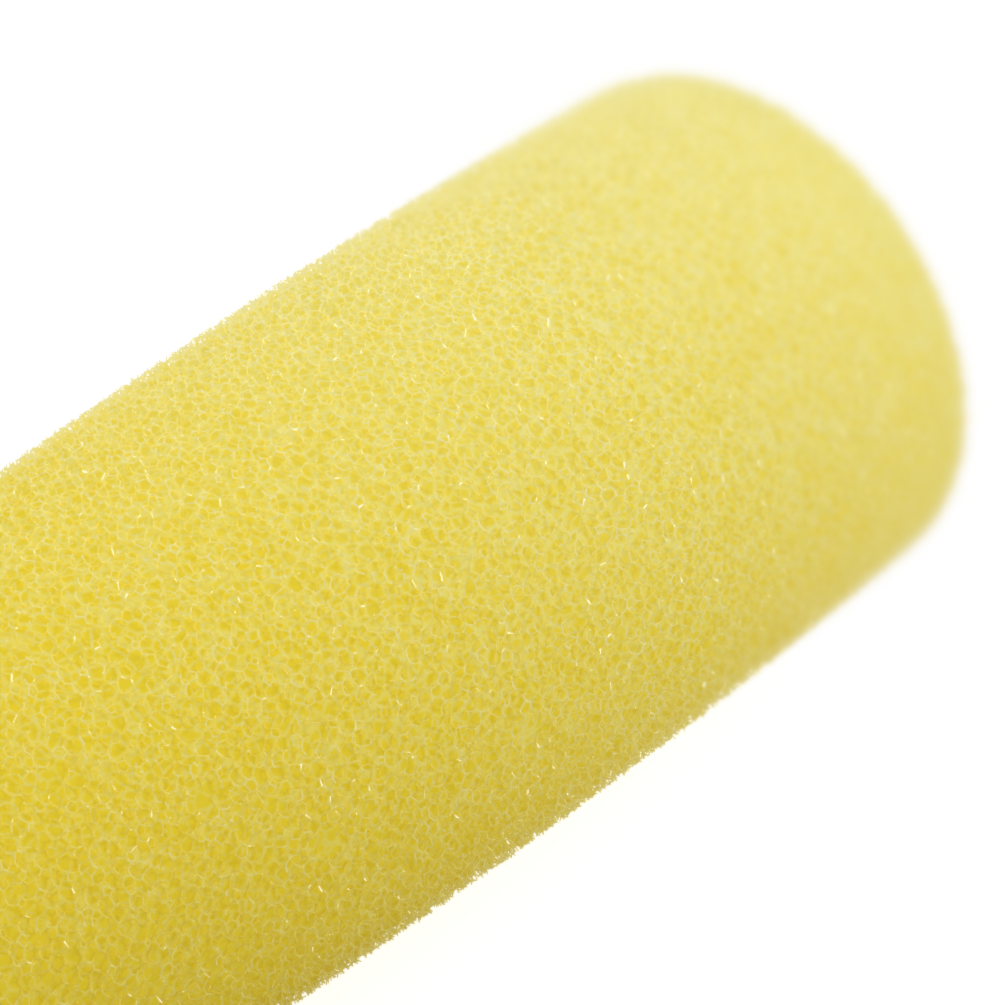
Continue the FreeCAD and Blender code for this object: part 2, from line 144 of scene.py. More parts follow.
# Lens blur: faint up to SOFT_LENGTH behind the tip, then growing to the last level at the tip.
SOFT_LENGTH = 27 * MM
LEAST_SOFT = 0.07
CLOSE_UP = 0.5
BLUR_LEVELS = (3, 8, 18)
EDGE_REACH = 18


# ------------------------------------------------------------ foam network

def with_images(sites, margin):
    """Sites of the periodic tile together with their copies just outside it."""
    copies = []
    owners = []
    for step in itertools.product((-1, 0, 1), repeat=3):
        moved = sites + np.array(step) * TILE_SIDE
        near = ((moved > -margin) & (moved < TILE_SIDE + margin)).all(axis=1)
        copies.append(moved[near])
        owners.append(np.nonzero(near)[0])
    return np.vstack(copies), np.concatenate(owners)


def nearest(points, queries, count):
    """Indices of the nearest points to each query, closest first."""
    tree = kdtree.KDTree(len(points))
    for index, point in enumerate(points):
        tree.insert(point, index)
    tree.balance()
    return np.array([[hit[1] for hit in tree.find_n(query, count)] for query in queries])


def relaxed_sites():
    """Random cell centres, pushed apart until the cells are of similar size."""
    count = int(TILE_CELLS ** 3)
    sites = np.random.default_rng(SITE_SEED).random((count, 3)) * TILE_SIDE
    for _ in range(RELAX_STEPS):
        cloud, _ = with_images(sites, SITE_MARGIN)
        near = nearest(cloud, sites, RELAX_NEIGHBOURS + 1)[:, 1:]
        delta = sites[:, None] - cloud[near]
        gap = np.linalg.norm(delta, axis=2, keepdims=True)
        push = np.clip(SITE_SPACING - gap, 0, None) * delta / gap
        sites = (sites + RELAX_PUSH * push.sum(axis=1)) % TILE_SIDE
    return sites


def cell_junctions(sites):
    """Points where four cells meet, and the four sites of each, in order of their owners."""
    cloud, owners = with_images(sites, JUNCTION_MARGIN)
    inner = np.nonzero(((cloud > -CELL) & (cloud < TILE_SIDE + CELL)).all(axis=1))[0]
    near = nearest(cloud, cloud[inner], JUNCTION_NEIGHBOURS + 1)[:, 1:]
    groups = []
    centres = []
    for start in range(0, len(inner), JUNCTION_BATCH):
        batch = slice(start, start + JUNCTION_BATCH)
        group, centre = junctions_near(cloud, inner[batch], near[batch])
        groups.append(group)
        centres.append(centre)
    groups, kept = np.unique(np.vstack(groups), axis=0, return_index=True)
    centres = np.vstack(centres)[kept]
    order = np.argsort(owners[groups], axis=1)
    return np.take_along_axis(groups, order, axis=1), centres


def junctions_near(cloud, home, around):
    """Centres of the empty spheres through each home site and three sites around it."""
    triples = np.array(list(itertools.combinations(range(JUNCTION_CANDIDATES), 3)))
    offset = cloud[around] - cloud[home][:, None]
    half_square = (offset ** 2).sum(axis=2) / 2
    first, second, third = (offset[:, triples[:, axis]] for axis in range(3))
    cross = np.cross(second, third)
    volume = (first * cross).sum(axis=2)
    levels = half_square[:, triples]
    centre = levels[..., 0:1] * cross + levels[..., 1:2] * np.cross(third, first)
    centre += levels[..., 2:3] * np.cross(first, second)
    volume = np.where(np.abs(volume) < FLAT_VOLUME, np.inf, volume)
    centre /= volume[..., None]
    reach = (centre ** 2).sum(axis=2)
    site, triple = np.nonzero((reach > 0) & (reach < JUNCTION_REACH ** 2))
    centre = centre[site, triple]
    inside = np.einsum("nkc,nc->nk", offset[site], centre) - half_square[site]
    empty = (inside < TOUCH_SLACK).all(axis=1)
    site, triple, centre = site[empty], triple[empty], centre[empty]
    corners = np.column_stack([home[site], around[site[:, None], triples[triple]]])
    return np.sort(corners, axis=1), centre + cloud[home[site]]


def foam_tile():
    """Junctions of one periodic block, four corner directions for each, and the struts.

    Both ends, "a" and "b", of a strut have a junction, the slot of the junction's corner
    that this strut leaves out, and the step of the tile that the junction is in.
    """
    groups, centres = cell_junctions(relaxed_sites())
    home = ((centres >= 0) & (centres < TILE_SIDE)).all(axis=1)
    points = centres[home]
    step = np.floor(centres / TILE_SIDE).astype(int)
    step[home] = 0
    local = np.zeros(len(centres), int)
    local[home] = np.arange(home.sum())
    wrapped = centres - step * TILE_SIDE
    local[~home] = nearest(points, wrapped[~home], 1)[:, 0]
    first, second, owner, slot = matching_faces(groups)
    middle = (centres[owner[first]] + centres[owner[second]]) / 2
    here = ((middle >= 0) & (middle < TILE_SIDE)).all(axis=1)
    struts = {}
    for end, face in (("a", first[here]), ("b", second[here])):
        struts[end] = local[owner[face]]
        struts[end + "_slot"] = slot[face]
        struts[end + "_step"] = step[owner[face]]
    for _ in range(SMOOTH_STEPS):
        points = smoothed(points, struts)
    return points, corner_directions(points, struts), struts


def matching_faces(groups):
    """Pairs of tetrahedron faces with the same three sites: a strut joins the two junctions."""
    faces = np.vstack([np.delete(groups, slot, axis=1) for slot in range(4)])
    owner = np.tile(np.arange(len(groups)), 4)
    slot = np.repeat(np.arange(4), len(groups))
    keys = np.sort(faces, axis=1)
    order = np.lexsort(keys.T)
    same = (keys[order][1:] == keys[order][:-1]).all(axis=1)
    return order[:-1][same], order[1:][same], owner, slot


def strut_vectors(points, struts):
    start = points[struts["a"]] + struts["a_step"] * TILE_SIDE
    finish = points[struts["b"]] + struts["b_step"] * TILE_SIDE
    return finish - start


def smoothed(points, struts):
    """Move each junction part of the way to the mean of its neighbours."""
    reach = strut_vectors(points, struts)
    pull = np.zeros_like(points)
    np.add.at(pull, struts["a"], reach)
    np.add.at(pull, struts["b"], -reach)
    return points + SMOOTH_SHARE * pull / 4


def corner_directions(points, struts):
    """Each junction is a small tetrahedron: a corner points away from one strut."""
    reach = strut_vectors(points, struts)
    reach /= np.linalg.norm(reach, axis=1, keepdims=True)
    corners = np.zeros((len(points), 4, 3))
    corners[struts["a"], struts["a_slot"]] = -reach
    corners[struts["b"], struts["b_slot"]] = reach
    return corners


# ------------------------------------------------------------ foam outline

def foam_outline():
    """The head's outer outline as (x, radius) points, from its rear edge to its tip."""
    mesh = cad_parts["foam_head"].data
    points = np.zeros(len(mesh.vertices) * 3)
    mesh.vertices.foreach_get("co", points)
    points = points.reshape(-1, 3)
    along = points[:, 0]
    radius = np.hypot(points[:, 1], points[:, 2])
    reach = radius.max()
    outside = (radius > OUTER_SHARE * reach) | (along > along.max() - END_SHARE * reach)
    outline = np.unique(np.round(np.column_stack([along, radius])[outside], 6), axis=0)
    middle = (along.max() + along.min()) / 2
    order = np.argsort(-np.arctan2(outline[:, 1], outline[:, 0] - middle))
    return outline[order]


def outline_depth(outline, step=0.1 * MM):
    """A function that gives how deep a point (x, radius) lies under the foam's surface."""
    low = outline[:, 0].min() - OUTLINE_MARGIN
    along = np.arange(low, outline[:, 0].max() + OUTLINE_MARGIN, step)
    radii = np.arange(0, outline[:, 1].max() + OUTLINE_MARGIN, step)
    grid = np.stack(np.meshgrid(along, radii, indexing="ij"), axis=-1)
    depth = np.full(grid.shape[:2], np.inf)
    side = np.full(grid.shape[:2], 1.0)
    for start, finish in zip(outline[:-1], outline[1:]):
        edge = finish - start
        share = np.clip(((grid - start) @ edge) / (edge @ edge), 0, 1)
        gap = np.linalg.norm(grid - start - share[..., None] * edge, axis=-1)
        nearer = gap < depth
        cross = edge[1] * (grid[..., 0] - start[0]) - edge[0] * (grid[..., 1] - start[1])
        side = np.where(nearer, np.sign(cross), side)
        depth = np.where(nearer, gap, depth)
    depth *= side
    depth = np.minimum(depth, grid[..., 0] - outline[:, 0].min())

    def read(points):
        column = (points[:, 0] - low) / step
        row = np.hypot(points[:, 1], points[:, 2]) / step
        column = np.clip(column, 0, len(along) - 2)
        row = np.clip(row, 0, len(radii) - 2)
        i, j = column.astype(int), row.astype(int)
        s, t = column - i, row - j
        upper = depth[i, j] * (1 - s) + depth[i + 1, j] * s
        lower = depth[i, j + 1] * (1 - s) + depth[i + 1, j + 1] * s
        return upper * (1 - t) + lower * t

    return read


# ------------------------------------------------------------ foam pieces

def skin_network(outline, depth_at):
    """Vertices and faces of all struts in the outer skin of the head."""
    points, corners, struts = foam_tile()
    turn = np.array(Euler(BLOCK_TURN).to_matrix())
    origin = np.array([outline[:, 0].mean(), 0, 0])
    reach = np.linalg.norm([outline[:, 0].max() - origin[0], outline[:, 1].max()])
    count = int(reach / TILE_SIDE) + 2
    rng = np.random.default_rng(CUT_SEED)
    parts = []
    for step in itertools.product(range(-count, count + 1), repeat=3):
        shift = np.array(step)
        centre = turn @ ((shift + 0.5) * TILE_SIDE) + origin
        if not tile_touches_head(centre, outline):
            continue
        parts.append(tile_struts(points, struts, shift, turn, origin, depth_at, outline))
    joined = {key: np.concatenate([part[key] for part in parts]) for key in parts[0]}
    return build_struts(joined, points, corners, turn, origin, rng)


def tile_touches_head(centre, outline):
    half_diagonal = TILE_SIDE * math.sqrt(3) / 2
    if centre[0] < outline[:, 0].min() - half_diagonal:
        return False
    if centre[0] > outline[:, 0].max() + half_diagonal:
        return False
    return np.hypot(centre[1], centre[2]) < outline[:, 1].max() + half_diagonal


def tile_struts(points, struts, shift, turn, origin, depth_at, outline):
    """Struts of one tile that lie in the skin, with the depth of both their ends."""
    ends = {}
    for end in ("a", "b"):
        step = struts[end + "_step"] + shift
        place = (points[struts[end]] + step * TILE_SIDE) @ turn.T + origin
        ends[end] = (step, place, depth_at(place))
    a_depth, b_depth = ends["a"][2], ends["b"][2]
    shallow = np.minimum(a_depth, b_depth) < SKIN_DEPTH
    under = np.maximum(a_depth, b_depth) > 0
    middle = (ends["a"][1] + ends["b"][1]) / 2
    radius = np.hypot(middle[:, 1], middle[:, 2])
    covered = (middle[:, 0] < outline[:, 0].min() + BASE_COVER_DEPTH) & (radius < BASE_COVER_RADIUS)
    keep = shallow & under & ~covered
    found = {"middle": middle[keep]}
    for end in ("a", "b"):
        step, _, depth = ends[end]
        found[end] = struts[end][keep]
        found[end + "_slot"] = struts[end + "_slot"][keep]
        found[end + "_step"] = step[keep]
        found[end + "_depth"] = depth[keep]
    return found


def build_struts(found, points, corners, turn, origin, rng):
    """Three-sided struts that share their corners where they meet at a junction."""
    put_inner_end_first(found)
    a_places, a_keys = strut_corners(found, "a", points, corners, turn, origin)
    b_places, b_keys = strut_corners(found, "b", points, corners, turn, origin)
    run = b_places.mean(axis=1) - a_places.mean(axis=1)
    cut = found["b_depth"] < 0
    share = cut_share(found, np.linalg.norm(run, axis=1), rng)[:, None, None]
    cut_places = a_places + share * (b_places - a_places)
    b_keys[cut] = -1 - np.arange(3 * cut.sum()).reshape(-1, 3)
    places = np.concatenate([a_places, np.where(cut[:, None, None], cut_places, b_places)])
    keys = np.concatenate([a_keys, b_keys])
    _, first, index = np.unique(keys.ravel(), return_index=True, return_inverse=True)
    a, b = index.reshape(2, -1, 3)
    quads = np.stack([
        np.stack([a[:, i], b[:, i], b[:, (i + 1) % 3], a[:, (i + 1) % 3]], axis=1)
        for i in range(3)
    ], axis=1)
    across = np.cross(a_places[:, 1] - a_places[:, 0], a_places[:, 2] - a_places[:, 0])
    flip = np.einsum("nc,nc->n", across, run) > 0
    quads[flip] = quads[flip][..., ::-1]
    return {
        "vertices": places.reshape(-1, 3)[first],
        "sides": quads,
        "caps": np.where(flip[cut][:, None], b[cut], b[cut][:, ::-1]),
        "cut": cut,
        "middle": found["middle"],
        "sheen_and_tone": strut_sheen_and_tone(found["middle"], run, rng),
    }


def put_inner_end_first(found):
    """Swap a strut's ends where end "a" is outside the foam's surface."""
    swap = found["a_depth"] < 0
    for key in ("", "_slot", "_step", "_depth"):
        a, b = found["a" + key], found["b" + key]
        mask = swap[:, None] if a.ndim == 2 else swap
        found["a" + key], found["b" + key] = np.where(mask, b, a), np.where(mask, a, b)


def strut_corners(found, end, points, corners, turn, origin):
    """The three corners of a strut's end, and a key for each that its neighbours share."""
    others = np.array([[1, 2, 3], [0, 2, 3], [0, 1, 3], [0, 1, 2]])
    place = points[found[end]] + found[end + "_step"] * TILE_SIDE
    picked = others[found[end + "_slot"]]
    offset = corners[found[end][:, None], picked] * STRUT_RADIUS
    places = (place[:, None] + offset) @ turn.T + origin
    step = found[end + "_step"] + TILE_RANGE // 2
    tile = (step[:, 0] * TILE_RANGE + step[:, 1]) * TILE_RANGE + step[:, 2]
    keys = (tile * len(points) + found[end])[:, None] * 4 + picked
    return places, keys


def cut_share(found, length, rng):
    """How much of each strut stays where the foam's surface cuts it, with uneven loose ends."""
    share = found["a_depth"] / np.maximum(found["a_depth"] - found["b_depth"], 1e-9)
    share += rng.random(len(share)) * LOOSE_END / np.maximum(length, STRUT_RADIUS)
    return np.clip(share, SHORTEST_CUT, 1)


def strut_sheen_and_tone(middle, run, rng):
    """How pale each strut looks, 0 to 1: a painted sheen where it runs round the head, across the
    light, plus a random tone.
    """
    round_head = np.column_stack([np.zeros(len(middle)), -middle[:, 2], middle[:, 1]])
    round_head /= np.linalg.norm(round_head, axis=1, keepdims=True)
    run = run / np.linalg.norm(run, axis=1, keepdims=True)
    across = (run * round_head).sum(axis=1) ** 2
    return SHEEN_BY_RUN * across + (1 - SHEEN_BY_RUN) * rng.random(len(run))


def mesh_from(name, vertices, faces, smooth=False):
    """A mesh object from vertices and a list of equal-sided face arrays."""
    mesh = bpy.data.meshes.new(name)
    sizes = np.concatenate([np.full(len(group), group.shape[1]) for group in faces])
    loops = np.concatenate([group.ravel() for group in faces])
    mesh.vertices.add(len(vertices))
    mesh.vertices.foreach_set("co", vertices.astype(np.float32).ravel())
    mesh.loops.add(len(loops))
    mesh.loops.foreach_set("vertex_index", loops.astype(np.int32))
    mesh.polygons.add(len(sizes))
    mesh.polygons.foreach_set("loop_start", (np.cumsum(sizes) - sizes).astype(np.int32))
    mesh.polygons.foreach_set("use_smooth", np.full(len(sizes), smooth))
    mesh.update(calc_edges=True)
    mesh.validate()
    piece = bpy.data.objects.new(name, mesh)
    bpy.context.scene.collection.objects.link(piece)
    return piece


def mark_depth(piece, depth_at):
    """Store how deep each vertex lies, from 0 at the foam's surface to 1 under its skin."""
    points = np.zeros(len(piece.data.vertices) * 3)
    piece.data.vertices.foreach_get("co", points)
    depth = np.clip(depth_at(points.reshape(-1, 3)) / SKIN_DEPTH, 0, 1)
    layer = piece.data.attributes.new("depth", "FLOAT", "POINT")
    layer.data.foreach_set("value", depth.astype(np.float32))


def wrap_uv(piece, outline):
    """Unroll the head: u runs round it and v along it, out to the centre of its end."""
    mesh = piece.data
    co = np.zeros(len(mesh.vertices) * 3)
    mesh.vertices.foreach_get("co", co)
    co = co.reshape(-1, 3)
    loops = np.zeros(len(mesh.loops), int)
    mesh.loops.foreach_get("vertex_index", loops)
    radius = np.hypot(co[:, 1], co[:, 2])
    u = np.arctan2(co[:, 2], co[:, 1]) / math.tau + 0.5
    length = outline[:, 0].max() - outline[:, 0].min() + outline[:, 1].max()
    end = co[:, 0] > outline[:, 0].max() - END_LENGTH
    v = (co[:, 0] - outline[:, 0].min() + np.where(end, outline[:, 1].max() - radius, 0)) / length
    layer = mesh.uv_layers.new(name="OFBake")
    uv = np.column_stack([u, np.clip(v, 0, 1)])[loops]
    layer.data.foreach_set("uv", uv.astype(np.float32).ravel())


def make_foam():
    """The strut skin in a few lengthwise sections, and the inner surface under it."""
    outline = foam_outline()
    depth_at = outline_depth(outline)
    skin = skin_network(outline, depth_at)
    angle = np.arctan2(skin["middle"][:, 2], skin["middle"][:, 1])
    section = ((angle / math.tau + 0.5) * SKIN_SECTIONS).astype(int) % SKIN_SECTIONS
    pieces = []
    for number in range(SKIN_SECTIONS):
        pieces.append(skin_section(skin, section == number, f"foam_cells_{number + 1}"))
        mark_depth(pieces[-1], depth_at)
    pieces.append(inner_surface(outline))
    for piece in pieces:
        wrap_uv(piece, outline)
    return pieces


def skin_section(skin, chosen, name):
    """One piece made of the chosen struts, with its own vertices."""
    sides = skin["sides"][chosen].reshape(-1, 4)
    ends = skin["caps"][chosen[skin["cut"]]]
    used, index = np.unique(np.concatenate([sides.ravel(), ends.ravel()]), return_inverse=True)
    faces = [index[:sides.size].reshape(-1, 4), index[sides.size:].reshape(-1, 3)]
    piece = mesh_from(name, skin["vertices"][used], faces)
    sheen_and_tone = skin["sheen_and_tone"][chosen]
    sheens_and_tones = np.concatenate([np.repeat(sheen_and_tone, 3), sheen_and_tone[skin["cut"][chosen]]])
    # Each face carries its strut's paleness: a painted sheen across the light plus a random tone.
    layer = piece.data.attributes.new("sheen_and_tone", "FLOAT", "FACE")
    layer.data.foreach_set("value", sheens_and_tones.astype(np.float32))
    return piece


def inner_outline(outline, step):
    """The outline with points at an even spacing, drawn in under the skin, least near the rim."""
    edges = np.linalg.norm(np.diff(outline, axis=0), axis=1)
    run = np.concatenate([[0], np.cumsum(edges)])
    rim = run[np.argmax(outline[:, 0] + outline[:, 1])]
    at = np.linspace(0, run[-1], int(run[-1] / step) + 1)
    points = np.column_stack([np.interp(at, run, outline[:, axis]) for axis in range(2)])
    slope = np.gradient(points, axis=0)
    slope /= np.linalg.norm(slope, axis=1, keepdims=True)
    inward = np.column_stack([slope[:, 1], -slope[:, 0]])
    share = np.clip(np.abs(at - rim) / RIM_REACH, 0, 1)
    inner = points + inward * (RIM_DEPTH + share * (SKIN_DEPTH - RIM_DEPTH))[:, None]
    inner[:, 1] = np.clip(inner[:, 1], 0, None)
    inner[-1, 1] = 0
    return inner


def inner_surface(outline):
    """Closed surface under the skin, pitted like the next layer of cells."""
    ring = inner_outline(outline, INSIDE_STEP)[:-1]
    around = INSIDE_AROUND
    angle = np.arange(around) / around * math.tau
    x = np.repeat(ring[:, 0], around)
    y = np.outer(ring[:, 1], np.cos(angle)).ravel()
    z = np.outer(ring[:, 1], np.sin(angle)).ravel()
    tip = [outline[:, 0].max() - SKIN_DEPTH, 0, 0]
    rear = [ring[0, 0], 0, 0]
    vertices = np.vstack([np.column_stack([x, y, z]), tip, rear])
    row = np.arange(len(ring) - 1)[:, None] * around
    col = np.arange(around)
    after = (col + 1) % around
    quads = np.stack([row + col, row + after, row + around + after, row + around + col], axis=-1)
    last = (len(ring) - 1) * around
    tip_fan = np.column_stack([last + col, last + after, np.full(around, len(vertices) - 2)])
    rear_fan = np.column_stack([after, col, np.full(around, len(vertices) - 1)])
    faces = [quads.reshape(-1, 4), np.vstack([tip_fan, rear_fan])]
    piece = mesh_from("foam_inside", vertices, faces, smooth=True)
    pits = bpy.data.textures.new("foam_pits", "VORONOI")
    pits.noise_scale = CELL
    pits.noise_intensity = PIT_CONTRAST
    dent = piece.modifiers.new("pits", "DISPLACE")
    dent.texture = pits
    dent.texture_coords = "LOCAL"
    dent.strength = PIT_DEPTH
    dent.mid_level = PIT_MIDDLE
    return piece


# ------------------------------------------------------------ materials

def new_material(name):
    material = bpy.data.materials.new(name)
    material.use_nodes = True
    nodes = material.node_tree.nodes
    shader = nodes["Principled BSDF"]
    return material, nodes, material.node_tree.links, shader


def add_node(nodes, kind, **settings):
    node = nodes.new(kind)
    for key, value in settings.items():
        if hasattr(node, key):
            setattr(node, key, value)
        else:
            node.inputs[key.replace("_", " ")].default_value = value
    return node


def ramp(nodes, links, source, stops):
    """Colour ramp from (position, colour) stops, fed by a value output."""
    node = nodes.new("ShaderNodeValToRGB")
    elements = node.color_ramp.elements
    elements[0].position, elements[0].color = stops[0]
    elements[1].position, elements[1].color = stops[-1]
    for position, colour in stops[1:-1]:
        elements.new(position).color = colour
    links.new(source, node.inputs["Fac"])
    return node.outputs["Color"]


def object_coordinates(nodes):
    return nodes.new("ShaderNodeTexCoord").outputs["Object"]


def stretched(nodes, links, place, scale):
    """Coordinates scaled along each axis."""
    mapping = nodes.new("ShaderNodeMapping")
    mapping.inputs["Scale"].default_value = scale
    links.new(place, mapping.inputs["Vector"])
    return mapping.outputs["Vector"]


def texture(nodes, links, kind, place, **settings):
    """A texture node read at these coordinates."""
    node = add_node(nodes, kind, **settings)
    links.new(place, node.inputs["Vector"])
    return node


def add_bump(nodes, links, shader, height, strength, distance):
    bump = add_node(nodes, "ShaderNodeBump", Strength=strength)
    bump.inputs["Distance"].default_value = distance
    links.new(height, bump.inputs["Height"])
    links.new(bump.outputs["Normal"], shader.inputs["Normal"])


def maths(nodes, links, operation, first, second):
    """Result of a maths node; each input is a socket or a number."""
    node = nodes.new("ShaderNodeMath")
    node.operation = operation
    for socket, value in zip(node.inputs, (first, second)):
        if isinstance(value, (int, float)):
            socket.default_value = value
        else:
            links.new(value, socket)
    return node.outputs["Value"]


def facing_up(nodes, links, radius):
    """How far this side of the head faces the light: 1 on top, 0 on the axis, -1 below."""
    facing = nodes.new("ShaderNodeVectorMath")
    facing.operation = "DOT_PRODUCT"
    facing.inputs[1].default_value = Vector(LIGHT_SIDE) / radius
    links.new(nodes.new("ShaderNodeNewGeometry").outputs["Position"], facing.inputs[0])
    return facing.outputs["Value"]


def along_head(nodes, links, place, tip_x, length):
    """0 up to this length behind the tip, rising to 1 at the tip."""
    axes = nodes.new("ShaderNodeSeparateXYZ")
    links.new(place, axes.inputs["Vector"])
    span = nodes.new("ShaderNodeMapRange")
    span.inputs["From Min"].default_value = tip_x - length
    span.inputs["From Max"].default_value = tip_x
    links.new(axes.outputs["X"], span.inputs["Value"])
    return span.outputs["Result"]


def mark_soft(nodes, links, amount):
    """Tell the lens blur how far out of focus this point is, in a close-up only."""
    distance = nodes.new("ShaderNodeCameraData").outputs["View Distance"]
    close = maths(nodes, links, "LESS_THAN", distance, CLOSE_UP)
    mark = nodes.new("ShaderNodeOutputAOV")
    mark.aov_name = "soft"
    amount = maths(nodes, links, "MAXIMUM", amount, LEAST_SOFT)
    links.new(maths(nodes, links, "MULTIPLY", amount, close), mark.inputs["Value"])


def add_share(nodes, links, total, source, weight):
    """The total plus the source times its weight."""
    return maths(nodes, links, "ADD", total, maths(nodes, links, "MULTIPLY", source, weight))


def dimmed(nodes, links, colour, share):
    """The colour times a share of white."""
    dim = nodes.new("ShaderNodeMix")
    dim.data_type = "RGBA"
    dim.blend_type = "MULTIPLY"
    dim.inputs["Factor"].default_value = 1.0
    dim.inputs["B"].default_value = (share, share, share, 1)
    links.new(colour, dim.inputs["A"])
    return dim.outputs["Result"]


def cell_walls(nodes, links, place):
    """1 along the edges of the cells of the next layer down, 0 inside them."""
    cells = texture(nodes, links, "ShaderNodeTexVoronoi", place, feature="DISTANCE_TO_EDGE",
                    Scale=1 / CELL)
    walls = nodes.new("ShaderNodeMapRange")
    walls.inputs["From Min"].default_value = WALL_FADE_END
    walls.inputs["From Max"].default_value = WALL_FADE_START
    links.new(cells.outputs["Distance"], walls.inputs["Value"])
    return walls.outputs["Result"]


def foam_material(name, corner, shade, wall_share, gloss, roughness):
    """Yellow open-cell polymer, with light and shade painted into its colour: paler at the surface,
    towards the light and at the tip, deeper yellow in the painted shade inside.

    Light that has wandered through many cells comes back out of every strut, so
    part of the colour is given off by the material itself, as a painted glow.
    """
    material, nodes, links, shader = new_material(name)
    place = object_coordinates(nodes)
    # Depth under the skin moves the colour into painted shade: deeper yellow further in.
    depth = add_node(nodes, "ShaderNodeAttribute", attribute_name="depth").outputs["Fac"]
    # A strut's paleness: a painted sheen where it runs across the light, plus a random tone.
    sheen_and_tone = add_node(nodes, "ShaderNodeAttribute", attribute_name="sheen_and_tone").outputs["Fac"]
    patches = texture(nodes, links, "ShaderNodeTexNoise", place, Scale=PATCH_SCALE, Detail=3.0)
    facing = facing_up(nodes, links, corner.y)
    # Towards the tip the foam is painted paler and its glow stronger: a painted sheen and painted
    # light.
    along = along_head(nodes, links, place, corner.x, TIP_SHEEN_LENGTH)
    mark_soft(nodes, links, along_head(nodes, links, place, corner.x, SOFT_LENGTH))

    # Steps along the colour scale: painted shade with depth, painted sheen by a strut's direction,
    # random patches, the cell walls below, painted light on the lit side and painted sheen towards
    # the tip.
    yellow = shade
    walls = cell_walls(nodes, links, place)
    for source, weight in (
            (depth, PAINTED_SHADE_BY_DEPTH), (sheen_and_tone, YELLOW_BY_SHEEN_AND_TONE),
            (patches.outputs["Fac"], YELLOW_BY_PATCH), (walls, -wall_share),
            (facing, YELLOW_BY_LIGHT), (along, YELLOW_BY_TIP)):
        yellow = add_share(nodes, links, yellow, source, weight)
    colour = ramp(nodes, links, yellow, list(zip((0.0, 0.5, 1.0), YELLOWS)))
    # The painted glow: stronger towards the tip and on the side that faces the light, that side's
    # share fading at the tip.
    light_share = add_share(nodes, links, GLOW_BY_LIGHT, along, -GLOW_BY_TIP)
    glow = add_share(nodes, links, GLOW, along, GLOW_BY_TIP)
    glow = add_share(nodes, links, glow, facing, light_share)
    links.new(colour, shader.inputs["Emission Color"])
    links.new(glow, shader.inputs["Emission Strength"])
    links.new(dimmed(nodes, links, colour, REFLECTED), shader.inputs["Base Color"])
    shader.inputs["Roughness"].default_value = roughness
    shader.inputs["Specular IOR Level"].default_value = gloss
    return material


def wood_material():
    """Lacquered beech: long streaks, darker flecks, a satin coat."""
    material, nodes, links, shader = new_material("beech")
    place = object_coordinates(nodes)
    along_grain = stretched(nodes, links, place, (6, 160, 160))
    grain = texture(nodes, links, "ShaderNodeTexNoise", along_grain, Scale=1.0, Detail=6.0,
                    Distortion=0.6)
    base = ramp(nodes, links, grain.outputs["Fac"], [
        (0.30, (0.56, 0.31, 0.14, 1)), (0.50, (0.74, 0.46, 0.23, 1)), (0.72, (0.86, 0.60, 0.33, 1))])
    along_flecks = stretched(nodes, links, place, (180, 1900, 1900))
    flecks = texture(nodes, links, "ShaderNodeTexVoronoi", along_flecks, Scale=1.0)
    dark = ramp(nodes, links, flecks.outputs["Distance"], [
        (0.12, (0.45, 0.38, 0.32, 1)), (0.22, (1, 1, 1, 1))])
    mix = nodes.new("ShaderNodeMix")
    mix.data_type = "RGBA"
    mix.blend_type = "MULTIPLY"
    mix.inputs["Factor"].default_value = 0.6
    links.new(base, mix.inputs["A"])
    links.new(dark, mix.inputs["B"])
    links.new(mix.outputs["Result"], shader.inputs["Base Color"])
    shader.inputs["Roughness"].default_value = 0.42
    shader.inputs["Coat Weight"].default_value = 0.6
    shader.inputs["Coat Roughness"].default_value = 0.18
    add_bump(nodes, links, shader, grain.outputs["Fac"], strength=0.25, distance=0.05 * MM)
    return material


def metal_material(name, colour, roughness, turned):
    """Bare metal: fine lines round the axis where it is turned, faint blotches elsewhere."""
    material, nodes, links, shader = new_material(name)
    place = object_coordinates(nodes)
    scale = (9000, 60, 60) if turned else (700, 700, 700)
    lines = texture(nodes, links, "ShaderNodeTexNoise", stretched(nodes, links, place, scale),
                    Scale=1.0, Detail=3.0)
    low = tuple(channel * 0.82 for channel in colour) + (1,)
    tint = ramp(nodes, links, lines.outputs["Fac"], [(0.35, low), (0.65, colour + (1,))])
    links.new(tint, shader.inputs["Base Color"])
    shader.inputs["Metallic"].default_value = 1.0
    spread = add_node(nodes, "ShaderNodeMapRange")
    spread.inputs["To Min"].default_value = roughness * 0.75
    spread.inputs["To Max"].default_value = roughness * 1.3
    links.new(lines.outputs["Fac"], spread.inputs["Value"])
    links.new(spread.outputs["Result"], shader.inputs["Roughness"])
    add_bump(nodes, links, shader, lines.outputs["Fac"], strength=0.2, distance=0.02 * MM)
    return material


def plastic_material():
    """Off-white moulded plastic with a fine spark-eroded texture."""
    material, nodes, links, shader = new_material("base_plastic")
    place = object_coordinates(nodes)
    fine = texture(nodes, links, "ShaderNodeTexNoise", place, Scale=4500.0, Detail=2.0)
    broad = texture(nodes, links, "ShaderNodeTexNoise", place, Scale=150.0, Detail=2.0)
    tint = ramp(nodes, links, broad.outputs["Fac"], [
        (0.3, (0.82, 0.81, 0.76, 1)), (0.7, (0.88, 0.87, 0.83, 1))])
    links.new(tint, shader.inputs["Base Color"])
    shader.inputs["Roughness"].default_value = 0.45
    shader.inputs["Subsurface Weight"].default_value = 0.15
    shader.inputs["Subsurface Scale"].default_value = 1.0 * MM
    add_bump(nodes, links, shader, fine.outputs["Fac"], strength=0.3, distance=0.03 * MM)
    return material


